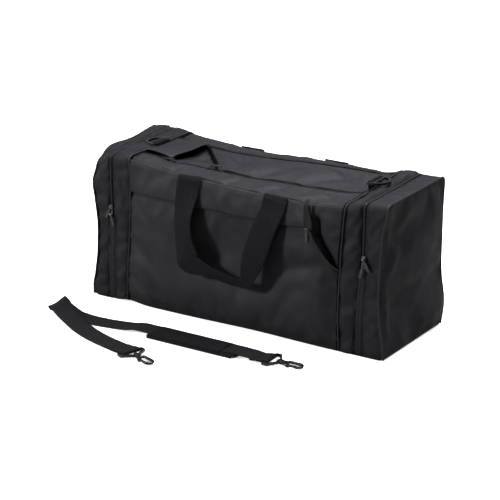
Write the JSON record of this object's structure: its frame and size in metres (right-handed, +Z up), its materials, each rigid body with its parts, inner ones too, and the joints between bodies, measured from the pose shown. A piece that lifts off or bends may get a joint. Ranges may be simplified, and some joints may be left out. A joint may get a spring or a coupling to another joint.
{
  "type": "duffel bag",
  "caption": "Long soft holdall with a zipped lid, a zipped pocket at each end and across the front, webbing handles and a detachable shoulder strap",
  "frame": {"origin": "middle of the base, on the surface that the bag stands on", "axes": "+X along the bag, towards its right end as seen from the front; -Y out of the front with the pocket; +Z up"},
  "size_m": [0.7796, 0.5827, 0.3529],
  "materials": {
    "body_cloth": "matt woven polyester",
    "end_cloth": "matt woven polyester",
    "lining": "thin coated lining cloth",
    "board": "plain stiffener board",
    "zip_tape": "woven tape with a nylon coil",
    "piping": "cloth over cord, slight sheen",
    "webbing": "ribbed woven webbing",
    "pad_cloth": "woven polyester over foam",
    "hardware": "glossy moulded plastic",
    "slider_metal": "black plated, polished",
    "puller": "moulded, satin"
  },
  "bodies": {
    "bag": {"front_panel": "body_cloth", "rear_panel": "body_cloth", "top_front_strip": "body_cloth", "top_rear_strip": "body_cloth", "left_top_panel": "body_cloth", "front_pocket_panel": "body_cloth", "base_panel": "body_cloth", "left_inner_gusset": "end_cloth", "right_inner_gusset": "end_cloth", "left_divider": "lining", "right_divider": "lining", "base_board": "board", "main_zip": "zip_tape", "left_end_zip": "zip_tape", "right_end_zip": "zip_tape", "front_pocket_zip": "zip_tape", "left_body_piping": "piping", "right_body_piping": "piping", "front_handle_tabs": "webbing", "rear_handle_tabs": "webbing", "left_ring_tab": "webbing", "right_ring_tab": "webbing"},
    "lid": {"lid_panel": "body_cloth"},
    "left_cover": {"left_outer_gusset": "end_cloth", "left_end_panel": "end_cloth", "left_end_piping": "piping"},
    "right_cover": {"right_outer_gusset": "end_cloth", "right_end_panel": "end_cloth", "right_end_piping": "piping"},
    "front_handle": {"front_handle": "webbing"},
    "rear_handle": {"rear_handle": "webbing"},
    "left_ring": {"left_d_ring": "hardware"},
    "right_ring": {"right_d_ring": "hardware"},
    "main_left_slider": {"main_left_slider": "slider_metal"},
    "main_right_slider": {"main_right_slider": "slider_metal"},
    "pocket_slider": {"pocket_slider": "slider_metal"},
    "main_left_puller": {"main_left_puller": "puller"},
    "main_right_puller": {"main_right_puller": "puller"},
    "pocket_puller": {"pocket_puller": "puller"},
    "left_upper_slider": {"left_upper_slider": "slider_metal"},
    "left_upper_puller": {"left_upper_puller": "puller"},
    "left_lower_slider": {"left_lower_slider": "slider_metal"},
    "left_lower_puller": {"left_lower_puller": "puller"},
    "right_upper_slider": {"right_upper_slider": "slider_metal"},
    "right_upper_puller": {"right_upper_puller": "puller"},
    "right_lower_slider": {"right_lower_slider": "slider_metal"},
    "right_lower_puller": {"right_lower_puller": "puller"},
    "strap": {"shoulder_strap": "webbing"},
    "pad": {"shoulder_pad": "pad_cloth"},
    "left_frame": {"left_hook_frame": "hardware"},
    "left_hook": {"left_snap_hook": "hardware"},
    "left_gate": {"left_hook_gate": "hardware"},
    "right_frame": {"right_hook_frame": "hardware"},
    "right_hook": {"right_snap_hook": "hardware"},
    "right_gate": {"right_hook_gate": "hardware"}
  },
  "joints": [
    {"name": "lid_hinge", "type": "hinge", "parent": "bag", "child": "lid", "pos_m": [0, 0.076, 0.332], "axis": [-0.9968, -0.0797, 0], "range_deg": [0, 100]},
    {"name": "left_end_hinge", "type": "hinge", "parent": "bag", "child": "left_cover", "pos_m": [-0.375, 0, 0.003], "axis": [0, -1, 0], "range_deg": [0, 90]},
    {"name": "right_end_hinge", "type": "hinge", "parent": "bag", "child": "right_cover", "pos_m": [0.375, 0, 0.003], "axis": [0, 1, 0], "range_deg": [0, 90]},
    {"name": "front_handle_hinge", "type": "hinge", "parent": "bag", "child": "front_handle", "pos_m": [0, -0.131, 0.312], "axis": [-1, 0, 0], "range_deg": [0, 150]},
    {"name": "rear_handle_hinge", "type": "hinge", "parent": "bag", "child": "rear_handle", "pos_m": [0, 0.131, 0.312], "axis": [1, 0, 0], "range_deg": [0, 150]},
    {"name": "left_ring_hinge", "type": "hinge", "parent": "bag", "child": "left_ring", "pos_m": [-0.275, 0, 0.3475], "axis": [0, 1, 0], "range_deg": [0, 170]},
    {"name": "right_ring_hinge", "type": "hinge", "parent": "bag", "child": "right_ring", "pos_m": [0.275, 0, 0.3475], "axis": [0, -1, 0], "range_deg": [0, 170]},
    {"name": "main_left_slide", "type": "slide", "parent": "bag", "child": "main_left_slider", "axis": [0.9968, 0.0797, 0], "range_m": [0, 0.075]},
    {"name": "main_right_slide", "type": "slide", "parent": "bag", "child": "main_right_slider", "axis": [0.9968, 0.0797, 0], "range_m": [-0.075, 0.345]},
    {"name": "pocket_slide", "type": "slide", "parent": "bag", "child": "pocket_slider", "axis": [1, 0, 0], "range_m": [-0.43, 0.062]},
    {"name": "main_left_puller_hinge", "type": "hinge", "parent": "main_left_slider", "child": "main_left_puller", "pos_m": [-0.192, -0.07136, 0.337], "axis": [-0.0797, 0.9968, 0], "range_deg": [0, 130]},
    {"name": "main_right_puller_hinge", "type": "hinge", "parent": "main_right_slider", "child": "main_right_puller", "pos_m": [-0.098, -0.06384, 0.337], "axis": [0.0797, -0.9968, 0], "range_deg": [0, 130]},
    {"name": "pocket_puller_hinge", "type": "hinge", "parent": "pocket_slider", "child": "pocket_puller", "pos_m": [0.192, -0.1405, 0.2635], "axis": [-1, 0, 0], "range_deg": [0, 130]},
    {"name": "left_upper_slide", "type": "slide", "parent": "bag", "child": "left_upper_slider", "axis": [0, 0, 1], "range_m": [0, 0.105]},
    {"name": "left_upper_puller_hinge", "type": "hinge", "parent": "left_upper_slider", "child": "left_upper_puller", "pos_m": [-0.323, -0.132, 0.2183], "axis": [-0.8829, 0, 0.4695], "range_deg": [0, 120]},
    {"name": "left_lower_slide", "type": "slide", "parent": "bag", "child": "left_lower_slider", "axis": [0, 0, 1], "range_m": [-0.175, 0]},
    {"name": "left_lower_puller_hinge", "type": "hinge", "parent": "left_lower_slider", "child": "left_lower_puller", "pos_m": [-0.323, -0.132, 0.2033], "axis": [-0.9659, 0, -0.2588], "range_deg": [0, 120]},
    {"name": "right_upper_slide", "type": "slide", "parent": "bag", "child": "right_upper_slider", "axis": [0, 0, 1], "range_m": [0, 0.105]},
    {"name": "right_upper_puller_hinge", "type": "hinge", "parent": "right_upper_slider", "child": "right_upper_puller", "pos_m": [0.323, -0.132, 0.2183], "axis": [-0.8829, 0, -0.4695], "range_deg": [0, 120]},
    {"name": "right_lower_slide", "type": "slide", "parent": "bag", "child": "right_lower_slider", "axis": [0, 0, 1], "range_m": [-0.175, 0]},
    {"name": "right_lower_puller_hinge", "type": "hinge", "parent": "right_lower_slider", "child": "right_lower_puller", "pos_m": [0.323, -0.132, 0.2033], "axis": [-0.9659, 0, 0.2588], "range_deg": [0, 120]},
    {"name": "strap_lift", "type": "slide", "parent": "bag", "child": "strap", "axis": [0, 0, 1], "range_m": [0, 0.3]},
    {"name": "pad_slide", "type": "slide", "parent": "strap", "child": "pad", "axis": [1, 0, 0], "range_m": [-0.018, 0.018]},
    {"name": "left_frame_tilt", "type": "hinge", "parent": "strap", "child": "left_frame", "pos_m": [-0.098, -0.374, 0.0045], "axis": [-0.342, -0.9397, 0], "range_deg": [0, 100]},
    {"name": "left_hook_swivel", "type": "hinge", "parent": "left_frame", "child": "left_hook", "pos_m": [-0.07169, -0.38358, 0.0045], "axis": [0.9397, -0.342, 0], "continuous": true},
    {"name": "left_gate_hinge", "type": "hinge", "parent": "left_hook", "child": "left_gate", "pos_m": [-0.05503, -0.39922, 0.0045], "axis": [0, 0, 1], "range_deg": [0, 22], "stiffness_Nm_per_rad": 0.02, "springref_deg": -11.46},
    {"name": "right_frame_tilt", "type": "hinge", "parent": "strap", "child": "right_frame", "pos_m": [0.172, -0.25, 0.0045], "axis": [0, -1, 0], "range_deg": [0, 100]},
    {"name": "right_hook_swivel", "type": "hinge", "parent": "right_frame", "child": "right_hook", "pos_m": [0.2, -0.25, 0.0045], "axis": [1, 0, 0], "continuous": true},
    {"name": "right_gate_hinge", "type": "hinge", "parent": "right_hook", "child": "right_gate", "pos_m": [0.221, -0.259, 0.0045], "axis": [0, 0, 1], "range_deg": [0, 22], "stiffness_Nm_per_rad": 0.02, "springref_deg": -11.46}
  ]
}
